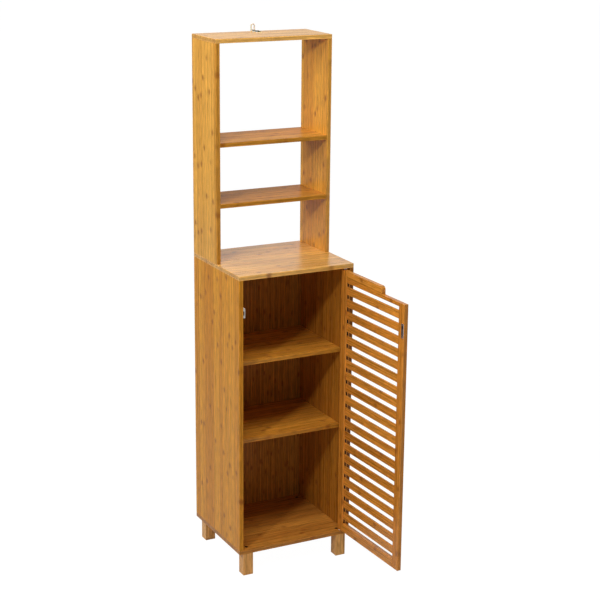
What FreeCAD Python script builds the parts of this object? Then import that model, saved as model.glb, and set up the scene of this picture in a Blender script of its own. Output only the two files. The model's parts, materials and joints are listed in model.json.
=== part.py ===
import FreeCAD, Part
import Sketcher

import os

from FreeCAD import Placement, Rotation, Vector

# Tall bathroom cabinet in laminated bamboo: a lower cabinet on four legs with a slatted door, and an
# open rack standing on the rear half of its top.
# X runs to the right, Y to the rear, Z up, in millimetres. The origin is on the floor, midway
# between the sides, in the plane of the cabinet's front edges. The door stands open.

DIMENSIONS = (
    # name, value, what it measures
    ("width", 350, "cabinet and rack, side to side"),
    ("depth", 305, "cabinet, front edges to rear edges"),
    ("cabinet_top", 875, "floor to the upper face of the cabinet's top"),
    ("rack_top", 1490, "floor to the upper face of the rack's top"),
    ("rack_depth", 160, "rack, front to rear, flush with the cabinet's rear"),
    ("board", 12, "thickness of panels and shelves"),
    ("edge_round", 0.8, "easing of a board's edges"),
    ("play", 0.05, "radial play of a rod in its hole"),
    ("leg_length", 65, "floor to the underside of the cabinet"),
    ("leg_side", 30, "square section of a leg"),
    ("leg_inset", 12, "leg to the cabinet's side and rear"),
    ("shelf_high", 619, "floor to the upper face of the upper inner shelf"),
    ("shelf_low", 391, "floor to the upper face of the lower inner shelf"),
    ("shelf_setback", 46, "inner shelf behind the front edges"),
    ("shelf_play", 0.5, "inner shelf to a side panel and to the back panel"),
    ("shelf_pin", 5, "diameter of a shelf support pin"),
    ("shelf_pin_bite", 8, "shelf support pin inside, and outside, the side panel"),
    ("shelf_pin_row", 25, "shelf support pin to the shelf's front or rear edge"),
    ("rack_shelf_high", 1211, "floor to the upper face of the rack's upper shelf"),
    ("rack_shelf_low", 1043, "floor to the upper face of the rack's lower shelf"),
    ("back_board", 5, "thickness of the back panel"),
    ("back_setback", 5, "back panel to the rear edges"),
    ("groove", 4, "depth of the grooves that hold the back panel"),
    ("door_board", 12, "thickness of the door's stiles and rails"),
    ("door_setback", 1, "closed door behind the front edges"),
    ("door_side_gap", 2, "closed door to each side panel"),
    ("door_foot_gap", 2, "door above the cabinet's floor"),
    ("door_height", 779, "hinge stile, bottom to top"),
    ("door_open", 92, "degrees by which the door stands open"),
    ("stile", 27, "width of a stile"),
    ("top_rail", 33, "height of the top rail at its hinge end"),
    ("bottom_rail", 25, "height of the bottom rail"),
    ("notch_drop", 22, "finger notch below the top of the hinge stile"),
    ("notch_start", 210, "hinge edge of the door to the finger notch"),
    ("notch_round", 10, "rounded corner above the finger notch"),
    ("notch_fillet", 3, "inner corner of the finger notch"),
    ("slat_count", 20, "slats in the door"),
    ("slat_board", 4, "thickness of a slat, and width of the grooves in the stiles"),
    ("slot", 12.4, "open height between two slats"),
    ("slat_bite", 8, "depth of a stile's groove, filled by the ends of the slats and the rails' tenons"),
    ("tenon_step", 2, "edge of a rail to the edge of its tenon"),
    ("pivot_inset", 9, "hinge axis to the door's hinge edge"),
    ("pin", 5, "diameter of a hinge pin"),
    ("pin_in_door", 24, "length of a hinge pin inside the stile"),
    ("pin_in_bush", 8, "length of a hinge pin inside the cabinet's board"),
    ("bush", 9, "outer diameter of a hinge bush"),
    ("bush_depth", 10, "length of a bush inside its board"),
    ("flange", 13, "diameter of a bush's flange"),
    ("flange_board", 1.5, "thickness of a bush's flange"),
    ("dowel", 8, "diameter of a dowel"),
    ("dowel_in_face", 8, "length of a dowel in the face of a board"),
    ("dowel_in_end", 22, "length of a dowel in the end of a board"),
    ("dowel_bevel", 1, "bevel on a dowel's ends"),
    ("dowel_row", 35, "front edge to the first short dowel of the cabinet's top"),
    ("dowel_pitch", 75, "first short dowel to the second"),
    ("rack_row", 30, "dowel to the front or rear edge of a rack board"),
    ("screw_row", 60, "carcass screw to the front or rear edge"),
    ("head_sink", 0.4, "screw head below the face of its board"),
    ("bolt_from_side", 30, "leg bolt to the cabinet's side and rear"),
    ("bolt_from_front", 20, "front leg bolt to the cabinet's front"),
    ("catch_center", 767, "floor to the middle of the magnetic catch"),
    ("catch_width", 13, "catch housing, out from the side panel"),
    ("catch_depth", 18, "catch housing, front to rear"),
    ("catch_height", 27, "catch housing, bottom to top"),
    ("catch_play", 0.3, "catch housing to the strike plate of the closed door"),
    ("catch_wall", 2, "catch housing beside its magnet"),
    ("catch_screw_row", 9, "catch screw above or below the middle"),
    ("catch_screw_sink", 2, "catch screw's head below the housing's face"),
    ("magnet_height", 12, "magnet and pole plates, bottom to top"),
    ("magnet_depth", 8, "pole plate, front to rear"),
    ("magnet_sink", 0.5, "magnet behind the edges of its pole plates"),
    ("pole_board", 1.5, "thickness of a pole plate"),
    ("strike_center", 763, "floor to the middle of the strike plate"),
    ("strike_width", 10.5, "strike plate, across the stile"),
    ("strike_height", 40, "strike plate, bottom to top"),
    ("strike_board", 1.2, "thickness of the strike plate"),
    ("strike_edge", 1.5, "strike plate to the door's free edge"),
    ("strike_screw_row", 16, "strike screw above or below the middle"),
    ("metal_round", 0.3, "easing of a metal plate's edges"),
    ("tie_offset", 9, "wall tie, right of the middle"),
    ("tie_width", 13, "eyelet of the wall tie, side to side"),
    ("tie_height", 21, "eyelet above the rack's top"),
    ("tie_band", 3, "width of the eyelet's band"),
    ("tie_thick", 3.9, "eyelet, front to rear"),
    ("tie_overhang", 1, "eyelet behind the rack's rear edges"),
    ("tie_foot", 46, "foot of the eyelet, front to rear"),
    ("tie_foot_board", 1.6, "thickness of the eyelet's foot"),
    ("tie_corner", 6.4, "outer corners of the eyelet"),
    ("tie_inner_corner", 3.3, "inner corners of the eyelet"),
    ("tie_plate_width", 9, "steel plate on the foot, side to side"),
    ("tie_plate_length", 41, "steel plate on the foot, front to rear"),
    ("tie_plate_board", 1.2, "thickness of the steel plate"),
    ("tie_screw_row", 10, "tie screw to the front end of the foot"),
)

FASTENERS = (
    # kind, shank, length under the head, head, head height
    ("bolt", 5, 45, 10, 3),
    ("screw", 4, 40, 8, 3),
    ("catch_screw", 2.4, 16, 5, 2),
    ("strike_screw", 2.5, 7, 6, 0.8),
    ("tie_screw", 3, 11, 6.5, 2),
)
SOCKET_SHARE = 0.55  # a hexagon socket across its corners, as a share of the head

doc = FreeCAD.newDocument("TallCabinet")
sheet = doc.addObject("Spreadsheet::Sheet", "Size")


def write_row(row, name, value, meaning):
    sheet.set(f"A{row}", meaning)
    sheet.set(f"B{row}", str(value))
    sheet.setAlias(f"B{row}", name)


row = 0
for name, value, meaning in DIMENSIONS:
    row += 1
    write_row(row, name, value, meaning)
for kind, *values in FASTENERS:
    for part, value in zip(("shank", "length", "head", "head_height"), values):
        row += 1
        write_row(row, f"{kind}_{part}", value, f"{part} of the {kind}")
doc.recompute()

# Formulas that several pieces share.
LEFT = "(-Size.width / 2)"
LEFT_INNER = "(Size.board - Size.width / 2)"
RIGHT_INNER = "(Size.width / 2 - Size.board)"
INNER_WIDTH = "(Size.width - 2 * Size.board)"
FLOOR_TOP = "(Size.leg_length + Size.board)"
TOP_UNDERSIDE = "(Size.cabinet_top - Size.board)"
SIDE_HEIGHT = f"({TOP_UNDERSIDE} - {FLOOR_TOP})"
BACK_FRONT = "(Size.depth - Size.back_setback - Size.back_board)"
RACK_FRONT = "(Size.depth - Size.rack_depth)"
RACK_SIDE_HEIGHT = "(Size.rack_top - Size.board - Size.cabinet_top)"
DOWEL_HOLE = "Size.dowel + 2 * Size.play"
HEAD_PLAY = "2 * Size.play"

DOOR_LEFT = f"({LEFT_INNER} + Size.door_side_gap)"
DOOR_RIGHT = f"({RIGHT_INNER} - Size.door_side_gap)"
DOOR_FOOT = f"({FLOOR_TOP} + Size.door_foot_gap)"
DOOR_TOP = f"({DOOR_FOOT} + Size.door_height)"
OPEN_HEIGHT = "(Size.door_height - Size.top_rail - Size.bottom_rail)"
SLAT_HEIGHT = f"(({OPEN_HEIGHT} - (Size.slat_count + 1) * Size.slot) / Size.slat_count)"
SLAT_PITCH = f"({SLAT_HEIGHT} + Size.slot)"
FIRST_SLAT = "(Size.bottom_rail + Size.slot)"
RAIL_LENGTH = f"({DOOR_RIGHT} - {DOOR_LEFT} - 2 * Size.stile)"
LOW_TOP_RAIL = "(Size.top_rail - Size.notch_drop)"
PIVOT_X = f"({DOOR_RIGHT} - Size.pivot_inset)"
PIVOT_Y = "(Size.door_setback + Size.door_board / 2)"

# Rows of fasteners, from the front edges of the cabinet or of a rack board.
SHORT_DOWEL_ROWS = ("Size.dowel_row", "Size.dowel_row + Size.dowel_pitch")
RACK_ROWS = ("Size.rack_row", "Size.rack_depth - Size.rack_row")
LONG_DOWEL_ROWS = tuple(f"{RACK_FRONT} + {y}" for y in RACK_ROWS)
SCREW_ROWS = ("Size.screw_row", "Size.depth / 2", "Size.depth - Size.screw_row")
SHELF_PIN_ROWS = ("Size.shelf_setback + Size.shelf_pin_row", f"{BACK_FRONT} - Size.shelf_pin_row")
SHELF_TOPS = ("Size.shelf_high", "Size.shelf_low")
RACK_SHELF_TOPS = ("Size.rack_shelf_high", "Size.rack_shelf_low")
BOLT_SPOTS = tuple(
    (x, y)
    for x in ("Size.bolt_from_side", "Size.width - Size.bolt_from_side")
    for y in ("Size.bolt_from_front", "Size.depth - Size.bolt_from_side")
)
STRIKE_SCREW_HEIGHTS = tuple(f"Size.strike_center {sign} Size.strike_screw_row" for sign in "+-")
CATCH_SCREW_HEIGHTS = tuple(f"Size.catch_center {sign} Size.catch_screw_row" for sign in "+-")
CATCH_FRONT = "(Size.door_setback + Size.door_board + Size.strike_board + Size.catch_play)"
CATCH_FOOT = "(Size.catch_center - Size.catch_height / 2)"
CATCH_SCREW_Y = f"({CATCH_FRONT} + Size.catch_depth - Size.catch_screw_head)"

nodes = []


# Placing: every piece takes its place from formulas, so that it follows the sheet.

def put(item, x, y, z, turn=None, on_door=False):
    """Place an item at formulas; turn is a rotation, and on_door swings it open with the door."""
    item.Placement = Placement(Vector(0, 0, 0), turn or Rotation())
    if on_door:
        cosine = "cos(Size.door_open * 1 deg)"
        sine = "sin(Size.door_open * 1 deg)"
        across = f"(({x}) - {PIVOT_X})"
        along = f"(({y}) - {PIVOT_Y})"
        x = f"{PIVOT_X} + {across} * {cosine} - {along} * {sine}"
        y = f"{PIVOT_Y} + {across} * {sine} + {along} * {cosine}"
        item.Placement = Placement(Vector(0, 0, 0), Rotation(Vector(0, 0, 1), 90))
        item.setExpression("Placement.Rotation.Angle", "Size.door_open * 1 deg")
    item.setExpression("Placement.Base.x", x)
    item.setExpression("Placement.Base.y", y)
    item.setExpression("Placement.Base.z", z)


# Sketching: each plane is named by the axis that it is square to. Its sketch then has the two other
# axes, in X, Y, Z order, as its right and up.

PLANES = {
    # square to: (plane, whether its normal points along the axis)
    "x": ("YZ_Plane", True),
    "y": ("XZ_Plane", False),
    "z": ("XY_Plane", True),
}


def sketch_on(body, name, axis, at="0"):
    """A sketch in the plane square to axis, at the formula's distance from the body's origin."""
    role, normal_forward = PLANES[axis]
    plane = next(item for item in body.Origin.OriginFeatures if item.Role == role)
    sketch = body.newObject("Sketcher::SketchObject", f"{body.Name}_{name}")
    sketch.AttachmentSupport = [(plane, "")]
    sketch.MapMode = "FlatFace"
    sketch.setExpression("AttachmentOffset.Base.z", at if normal_forward else f"-({at})")
    return sketch


def hold_point(sketch, geometry, vertex, right, up):
    """Hold a sketch point at formulas from the origin; a point at 0 lies on the axis instead."""
    for kind, formula, axis in (("DistanceX", right, -2), ("DistanceY", up, -1)):
        if formula == "0":
            sketch.addConstraint(Sketcher.Constraint("PointOnObject", geometry, vertex, axis))
        else:
            index = sketch.addConstraint(Sketcher.Constraint(kind, -1, 1, geometry, vertex, 1.0))
            sketch.setExpression(f"Constraints[{index}]", formula)


def outline(sketch, corners):
    """A closed outline of straight lines through corners, each a pair of formulas."""
    count = len(corners)
    starts = [Vector(1 + i, 1 + i * i, 0) for i in range(count)]
    for i in range(count):
        sketch.addGeometry(Part.LineSegment(starts[i], starts[(i + 1) % count]))
    for i, (right, up) in enumerate(corners):
        sketch.addConstraint(Sketcher.Constraint("Coincident", i, 1, (i - 1) % count, 2))
        hold_point(sketch, i, 1, right, up)


def rectangle(sketch, left, low, across, up):
    far = across if left == "0" else f"{left} + {across}"
    high = up if low == "0" else f"{low} + {up}"
    outline(sketch, [(left, low), (far, low), (far, high), (left, high)])


def circles(sketch, spots, diameter):
    """Equal circles, each centred on a pair of formulas."""
    center = 3
    for right, up in spots:
        circle = sketch.addGeometry(Part.Circle(Vector(3, 3, 0), Vector(0, 0, 1), 1))
        index = sketch.addConstraint(Sketcher.Constraint("Diameter", circle, 2.0))
        sketch.setExpression(f"Constraints[{index}]", diameter)
        hold_point(sketch, circle, center, right, up)


# Solid features.

def new_body(name):
    body = doc.addObject("PartDesign::Body", name)
    body.Label = name
    nodes.append(body)
    return body


def pad(body, sketch, axis, length, both_ways=False):
    """Raise the sketch towards the axis's positive end, or evenly to both sides."""
    feature = body.newObject("PartDesign::Pad", f"{sketch.Name}_pad")
    feature.Profile = sketch
    feature.setExpression("Length", length)
    feature.Reversed = not PLANES[axis][1]
    if both_ways:
        feature.SideType = "Symmetric"
    body.Tip = feature
    return feature


def pocket(body, sketch, axis, depth, forward):
    """Cut the sketch into the body, towards the axis's positive end if forward."""
    doc.recompute()
    before = body.Shape.Volume
    feature = body.newObject("PartDesign::Pocket", f"{sketch.Name}_cut")
    feature.Profile = sketch
    feature.setExpression("Length", depth)
    feature.Reversed = forward == PLANES[axis][1]
    body.Tip = feature
    doc.recompute()
    if before - body.Shape.Volume < 1:
        raise ValueError(f"{feature.Name} removes nothing")
    return feature


def ease(body, feature, radius, chosen=None):
    """Round the edges of a feature: all of them, or those that chosen picks."""
    doc.recompute()
    edges = [
        f"Edge{i}"
        for i, edge in enumerate(feature.Shape.Edges, start=1)
        if chosen is None or chosen(edge)
    ]
    rounding = body.newObject("PartDesign::Fillet", f"{feature.Name}_round")
    rounding.Base = (feature, edges)
    rounding.setExpression("Radius", radius)
    body.Tip = rounding
    doc.recompute()
    return rounding


def bore(body, name, axis, at, spots, diameter, depth, forward):
    """Equal round holes along an axis, from the plane at that distance."""
    sketch = sketch_on(body, name, axis, at)
    circles(sketch, spots, diameter)
    return pocket(body, sketch, axis, depth, forward)


def recess(body, name, axis, at, corner, spans, depth, forward):
    """A rectangular recess along an axis, from the plane at that distance."""
    sketch = sketch_on(body, name, axis, at)
    rectangle(sketch, *corner, *spans)
    return pocket(body, sketch, axis, depth, forward)


def board(name, thin, spans, corner, radius="Size.edge_round", on_door=False):
    """An eased board, thin along one axis. Spans are its formulas along X, Y and Z."""
    body = new_body(name)
    sketch = sketch_on(body, "outline", thin)
    faces = [span for axis, span in zip("xyz", spans) if axis != thin]
    rectangle(sketch, "0", "0", *faces)
    feature = pad(body, sketch, thin, spans["xyz".index(thin)])
    ease(body, feature, radius)
    put(body, *corner, on_door=on_door)
    return body


# Rods and fasteners.

ALONG_X = Rotation(Vector(0, 1, 0), 90)
BACK_ALONG_X = Rotation(Vector(0, 1, 0), -90)
ALONG_Y = Rotation(Vector(1, 0, 0), -90)
UPSIDE_DOWN = Rotation(Vector(1, 0, 0), 180)
UPRIGHT = Rotation()


def rod(name, diameter, length, x, y, z, turn=UPRIGHT):
    """A round rod that starts at x, y, z and runs along its own Z, turned by turn."""
    cylinder = doc.addObject("Part::Cylinder", name)
    cylinder.setExpression("Radius", f"({diameter}) / 2")
    cylinder.setExpression("Height", length)
    put(cylinder, x, y, z, turn)
    return cylinder


def dowel(name, length, x, y, z, turn=UPRIGHT):
    """A wooden dowel with bevelled ends."""
    core = rod(f"{name}_core", "Size.dowel", length, x, y, z, turn)
    doc.recompute()
    bevel = float(sheet.get("dowel_bevel"))
    rims = [i for i, edge in enumerate(core.Shape.Edges, start=1) if edge.Curve.TypeId == "Part::GeomCircle"]
    bevelled = doc.addObject("Part::Chamfer", name)
    bevelled.Base = core
    bevelled.Edges = [(rim, bevel, bevel) for rim in rims]
    return bevelled


def socket_screw(name, kind, x, y, z, turn=UPRIGHT):
    """A screw whose head's top is at x, y, z and whose shank runs along its own -Z."""
    under_head = f"Size.{kind}_head_height"
    head = rod(f"{name}_head", f"Size.{kind}_head", under_head, "0", "0", f"-{under_head}")
    shank = rod(
        f"{name}_shank", f"Size.{kind}_shank", f"Size.{kind}_length", "0", "0",
        f"-{under_head} - Size.{kind}_length",
    )
    solid = doc.addObject("Part::Fuse", f"{name}_solid")
    solid.Base = head
    solid.Tool = shank
    socket = doc.addObject("Part::Prism", f"{name}_socket")
    socket.Polygon = 6
    socket.setExpression("Circumradius", f"Size.{kind}_head * {SOCKET_SHARE} / 2")
    socket.setExpression("Height", under_head)
    put(socket, "0", "0", f"-{under_head} / 2")
    screw = doc.addObject("Part::Cut", name)
    screw.Base = solid
    screw.Tool = socket
    put(screw, x, y, z, turn)
    return screw


def group(name, members, on_door=False):
    """Identical fasteners as one node of separate solids."""
    compound = doc.addObject("Part::Compound", name)
    compound.Label = name
    compound.Links = members
    put(compound, "0", "0", "0", on_door=on_door)
    nodes.append(compound)
    return compound


# The lower cabinet's boards.

def side_panel(name, left, inner_face, outward):
    """A cabinet side. Its inner face is at inner_face, and outward says that +X leads out of it."""
    body = board(name, "x", ("Size.board", "Size.depth", SIDE_HEIGHT), (left, "0", FLOOR_TOP))
    middle = "Size.board / 2"
    top_end = [(middle, y) for y in SHORT_DOWEL_ROWS + LONG_DOWEL_ROWS]
    bore(body, "dowels", "z", SIDE_HEIGHT, top_end, DOWEL_HOLE, "Size.dowel_in_end", False)
    thread = "Size.screw_length - Size.board + Size.screw_head_height + Size.head_sink + 1"
    foot_end = [(middle, y) for y in SCREW_ROWS]
    bore(body, "screws", "z", "0", foot_end, f"Size.screw_shank + {HEAD_PLAY}", thread, True)
    pin_spots = [
        (y, f"{top} - Size.board - Size.shelf_pin / 2 - Size.play - {FLOOR_TOP}")
        for top in SHELF_TOPS
        for y in SHELF_PIN_ROWS
    ]
    pin_hole = f"Size.shelf_pin + {HEAD_PLAY}"
    bore(body, "shelf_pins", "x", inner_face, pin_spots, pin_hole, "Size.shelf_pin_bite", outward)
    recess(
        body, "back_groove", "x", inner_face, (BACK_FRONT, "0"), ("Size.back_board", SIDE_HEIGHT),
        "Size.groove", outward,
    )
    return body


left_side = side_panel("left_side_panel", LEFT, "Size.board", False)
bore(
    left_side, "catch_screws", "x", "Size.board",
    [(CATCH_SCREW_Y, f"{height} - {FLOOR_TOP}") for height in CATCH_SCREW_HEIGHTS],
    f"Size.catch_screw_shank + {HEAD_PLAY}", "Size.catch_screw_length / 2", False,
)
side_panel("right_side_panel", RIGHT_INNER, "0", True)

SIDE_MIDDLES = ("Size.board / 2", "Size.width - Size.board / 2")
GROOVE_CORNER = ("Size.board - Size.groove", BACK_FRONT)
GROOVE_SPANS = (f"{INNER_WIDTH} + 2 * Size.groove", "Size.back_board")
BUSH_SPOT = [(f"{PIVOT_X} + Size.width / 2", PIVOT_Y)]
BUSH_HOLE = f"Size.bush + {HEAD_PLAY}"

top_panel = board(
    "cabinet_top_panel", "z", ("Size.width", "Size.depth", "Size.board"), (LEFT, "0", TOP_UNDERSIDE),
)
short_spots = [(x, y) for x in SIDE_MIDDLES for y in SHORT_DOWEL_ROWS]
long_spots = [(x, y) for x in SIDE_MIDDLES for y in LONG_DOWEL_ROWS]
bore(top_panel, "short_dowels", "z", "0", short_spots, DOWEL_HOLE, "Size.dowel_in_face", True)
bore(top_panel, "long_dowels", "z", "0", long_spots, DOWEL_HOLE, "2 * Size.board", True)
bore(top_panel, "hinge_bush", "z", "0", BUSH_SPOT, BUSH_HOLE, "Size.bush_depth", True)
recess(top_panel, "back_groove", "z", "0", GROOVE_CORNER, GROOVE_SPANS, "Size.groove", True)

bottom_panel = board(
    "cabinet_bottom_panel", "z", ("Size.width", "Size.depth", "Size.board"), (LEFT, "0", "Size.leg_length"),
)
screw_spots = [(x, y) for x in SIDE_MIDDLES for y in SCREW_ROWS]
for kind, spots, at, forward in (("bolt", BOLT_SPOTS, "Size.board", False), ("screw", screw_spots, "0", True)):
    head_hole = f"Size.{kind}_head + {HEAD_PLAY}"
    head_depth = f"Size.{kind}_head_height + Size.head_sink"
    shank_hole = f"Size.{kind}_shank + {HEAD_PLAY}"
    bore(bottom_panel, f"{kind}_heads", "z", at, spots, head_hole, head_depth, forward)
    bore(bottom_panel, f"{kind}_shanks", "z", at, spots, shank_hole, "2 * Size.board", forward)
bore(bottom_panel, "hinge_bush", "z", "Size.board", BUSH_SPOT, BUSH_HOLE, "Size.bush_depth", False)
recess(bottom_panel, "back_groove", "z", "Size.board", GROOVE_CORNER, GROOVE_SPANS, "Size.groove", False)

board(
    "cabinet_back_panel", "y",
    (f"{INNER_WIDTH} + 2 * Size.groove", "Size.back_board", f"{SIDE_HEIGHT} + 2 * Size.groove"),
    (f"{LEFT_INNER} - Size.groove", BACK_FRONT, f"{FLOOR_TOP} - Size.groove"),
)

for name, top in zip(("inner_shelf_upper", "inner_shelf_lower"), SHELF_TOPS):
    shelf_depth = f"{BACK_FRONT} - Size.shelf_setback - Size.shelf_play"
    board(
        name, "z", (f"{INNER_WIDTH} - 2 * Size.shelf_play", shelf_depth, "Size.board"),
        (f"{LEFT_INNER} + Size.shelf_play", "Size.shelf_setback", f"{top} - Size.board"),
    )

# The legs. Each bolt stands over its leg, nearer the middle of the cabinet than the leg's own middle.

LEG_X = {"left": f"{LEFT} + Size.leg_inset", "right": "Size.width / 2 - Size.leg_inset - Size.leg_side"}
LEG_Y = {"front": "0", "rear": "Size.depth - Size.leg_inset - Size.leg_side"}
BOLT_X = {"left": f"{LEFT} + Size.bolt_from_side", "right": "Size.width / 2 - Size.bolt_from_side"}
BOLT_Y = {"front": "Size.bolt_from_front", "rear": "Size.depth - Size.bolt_from_side"}
BOLT_IN_LEG = "Size.bolt_length - Size.board + Size.bolt_head_height + Size.head_sink + 1"
leg_bolts = []
for end in ("front", "rear"):
    for hand in ("left", "right"):
        leg = board(
            f"leg_{end}_{hand}", "z", ("Size.leg_side", "Size.leg_side", "Size.leg_length"),
            (LEG_X[hand], LEG_Y[end], "0"),
        )
        spot = (f"{BOLT_X[hand]} - ({LEG_X[hand]})", f"{BOLT_Y[end]} - ({LEG_Y[end]})")
        bolt_hole = f"Size.bolt_shank + {HEAD_PLAY}"
        bore(leg, "bolt", "z", "Size.leg_length", [spot], bolt_hole, BOLT_IN_LEG, False)
        leg_bolts.append(socket_screw(
            f"leg_bolt_{end}_{hand}", "bolt", BOLT_X[hand], BOLT_Y[end], f"{FLOOR_TOP} - Size.head_sink",
        ))
group("leg_bolts", leg_bolts)

# Screws, dowels and pins of the cabinet.

SIDE_X = {"left": f"{LEFT} + Size.board / 2", "right": "Size.width / 2 - Size.board / 2"}
group("side_panel_screws", [
    socket_screw(f"side_screw_{hand}_{i}", "screw", x, y, "Size.leg_length + Size.head_sink", UPSIDE_DOWN)
    for hand, x in SIDE_X.items()
    for i, y in enumerate(SCREW_ROWS)
])
group("cabinet_top_dowels", [
    dowel(
        f"top_dowel_{hand}_{i}", "Size.dowel_in_end + Size.dowel_in_face", x, y,
        f"{TOP_UNDERSIDE} - Size.dowel_in_end",
    )
    for hand, x in SIDE_X.items()
    for i, y in enumerate(SHORT_DOWEL_ROWS)
])
group("rack_base_dowels", [
    dowel(
        f"base_dowel_{hand}_{i}", "2 * Size.dowel_in_end + Size.board", x, y,
        f"{TOP_UNDERSIDE} - Size.dowel_in_end",
    )
    for hand, x in SIDE_X.items()
    for i, y in enumerate(LONG_DOWEL_ROWS)
])
group("shelf_support_pins", [
    rod(
        f"shelf_pin_{hand}_{i}_{j}", "Size.shelf_pin", "2 * Size.shelf_pin_bite",
        f"{x} - Size.shelf_pin_bite", y, f"{top} - Size.board - Size.shelf_pin / 2 - Size.play", ALONG_X,
    )
    for hand, x in (("left", LEFT_INNER), ("right", RIGHT_INNER))
    for i, top in enumerate(SHELF_TOPS)
    for j, y in enumerate(SHELF_PIN_ROWS)
])

# The rack: two sides, a top over them and two shelves between them, joined by dowels.

def rack_side(name, left, inner_face, outward):
    """A side of the rack, with dowel holes at both ends and on its inner face."""
    body = board(
        name, "x", ("Size.board", "Size.rack_depth", RACK_SIDE_HEIGHT), (left, RACK_FRONT, "Size.cabinet_top"),
    )
    end_spots = [("Size.board / 2", y) for y in RACK_ROWS]
    bore(body, "top_dowels", "z", RACK_SIDE_HEIGHT, end_spots, DOWEL_HOLE, "Size.dowel_in_end", False)
    bore(body, "base_dowels", "z", "0", end_spots, DOWEL_HOLE, "Size.dowel_in_end", True)
    shelf_spots = [
        (y, f"{top} - Size.board / 2 - Size.cabinet_top")
        for top in RACK_SHELF_TOPS
        for y in RACK_ROWS
    ]
    bore(body, "shelf_dowels", "x", inner_face, shelf_spots, DOWEL_HOLE, "Size.dowel_in_face", outward)


rack_side("rack_left_panel", LEFT, "Size.board", False)
rack_side("rack_right_panel", RIGHT_INNER, "0", True)

rack_top = board(
    "rack_top_panel", "z", ("Size.width", "Size.rack_depth", "Size.board"),
    (LEFT, RACK_FRONT, "Size.rack_top - Size.board"),
)
rack_top_spots = [(x, y) for x in SIDE_MIDDLES for y in RACK_ROWS]
bore(rack_top, "dowels", "z", "0", rack_top_spots, DOWEL_HOLE, "Size.dowel_in_face", True)
TIE_FRONT = "(Size.depth + Size.tie_overhang - Size.tie_foot)"
tie_spot = ("Size.width / 2 + Size.tie_offset", f"{TIE_FRONT} + Size.tie_screw_row - {RACK_FRONT}")
tie_hole = f"Size.tie_screw_shank + {HEAD_PLAY}"
bore(rack_top, "tie_screw", "z", "Size.board", [tie_spot], tie_hole, "Size.board - 2", False)

rack_dowels = [
    dowel(
        f"rack_top_dowel_{hand}_{i}", "Size.dowel_in_end + Size.dowel_in_face", x, f"{RACK_FRONT} + {y}",
        "Size.rack_top - Size.board - Size.dowel_in_end",
    )
    for hand, x in SIDE_X.items()
    for i, y in enumerate(RACK_ROWS)
]
for name, top in zip(("rack_shelf_upper", "rack_shelf_lower"), RACK_SHELF_TOPS):
    shelf = board(
        name, "z", (INNER_WIDTH, "Size.rack_depth", "Size.board"),
        (LEFT_INNER, RACK_FRONT, f"{top} - Size.board"),
    )
    shelf_spots = [(y, "Size.board / 2") for y in RACK_ROWS]
    bore(shelf, "left_dowels", "x", "0", shelf_spots, DOWEL_HOLE, "Size.dowel_in_end", True)
    bore(shelf, "right_dowels", "x", INNER_WIDTH, shelf_spots, DOWEL_HOLE, "Size.dowel_in_end", False)
    for hand, start, turn in (
        ("left", f"{LEFT_INNER} - Size.dowel_in_face", ALONG_X),
        ("right", f"{RIGHT_INNER} + Size.dowel_in_face", BACK_ALONG_X),
    ):
        for i, y in enumerate(RACK_ROWS):
            rack_dowels.append(dowel(
                f"{name}_dowel_{hand}_{i}", "Size.dowel_in_end + Size.dowel_in_face", start,
                f"{RACK_FRONT} + {y}", f"{top} - Size.board / 2", turn,
            ))
group("rack_dowels", rack_dowels)

# The magnetic catch on the left side panel.

housing = board(
    "catch_housing", "x", ("Size.catch_width", "Size.catch_depth", "Size.catch_height"),
    (LEFT_INNER, CATCH_FRONT, CATCH_FOOT),
)
MAGNET_FOOT = "(Size.catch_center - Size.magnet_height / 2)"
CAVITY_WIDTH = "(Size.catch_width - 2 * Size.catch_wall)"
recess(
    housing, "cavity", "y", "0", ("Size.catch_wall", f"{MAGNET_FOOT} - {CATCH_FOOT}"),
    (CAVITY_WIDTH, "Size.magnet_height"), "Size.magnet_depth", True,
)
catch_spots = [(f"{CATCH_SCREW_Y} - {CATCH_FRONT}", f"{z} - {CATCH_FOOT}") for z in CATCH_SCREW_HEIGHTS]
head_hole = f"Size.catch_screw_head + {HEAD_PLAY}"
shank_hole = f"Size.catch_screw_shank + {HEAD_PLAY}"
head_depth = "Size.catch_screw_sink + Size.catch_screw_head_height"
bore(housing, "screw_heads", "x", "Size.catch_width", catch_spots, head_hole, head_depth, False)
bore(housing, "screws", "x", "Size.catch_width", catch_spots, shank_hole, "2 * Size.catch_width", False)

board(
    "catch_magnet", "y",
    (f"{CAVITY_WIDTH} - 2 * Size.pole_board", "Size.magnet_depth - Size.magnet_sink", "Size.magnet_height"),
    (
        f"{LEFT_INNER} + Size.catch_wall + Size.pole_board", f"{CATCH_FRONT} + Size.magnet_sink",
        MAGNET_FOOT,
    ),
    "Size.metal_round",
)


def pole_plate(name, x):
    """A steel plate beside the magnet, flush with the front of the housing."""
    plate = doc.addObject("Part::Box", name)
    plate.setExpression("Length", "Size.pole_board")
    plate.setExpression("Width", "Size.magnet_depth")
    plate.setExpression("Height", "Size.magnet_height")
    put(plate, x, CATCH_FRONT, MAGNET_FOOT)
    return plate


group("catch_pole_plates", [
    pole_plate("pole_plate_left", f"{LEFT_INNER} + Size.catch_wall"),
    pole_plate("pole_plate_right", f"{LEFT_INNER} + Size.catch_width - Size.catch_wall - Size.pole_board"),
])
group("catch_screws", [
    socket_screw(
        f"catch_screw_{i}", "catch_screw", f"{LEFT_INNER} + Size.catch_width - Size.catch_screw_sink",
        CATCH_SCREW_Y, z, ALONG_X,
    )
    for i, z in enumerate(CATCH_SCREW_HEIGHTS)
])

# The hinge: a bush in the cabinet's top and one in its bottom, and a pin in each end of the stile.

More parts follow.
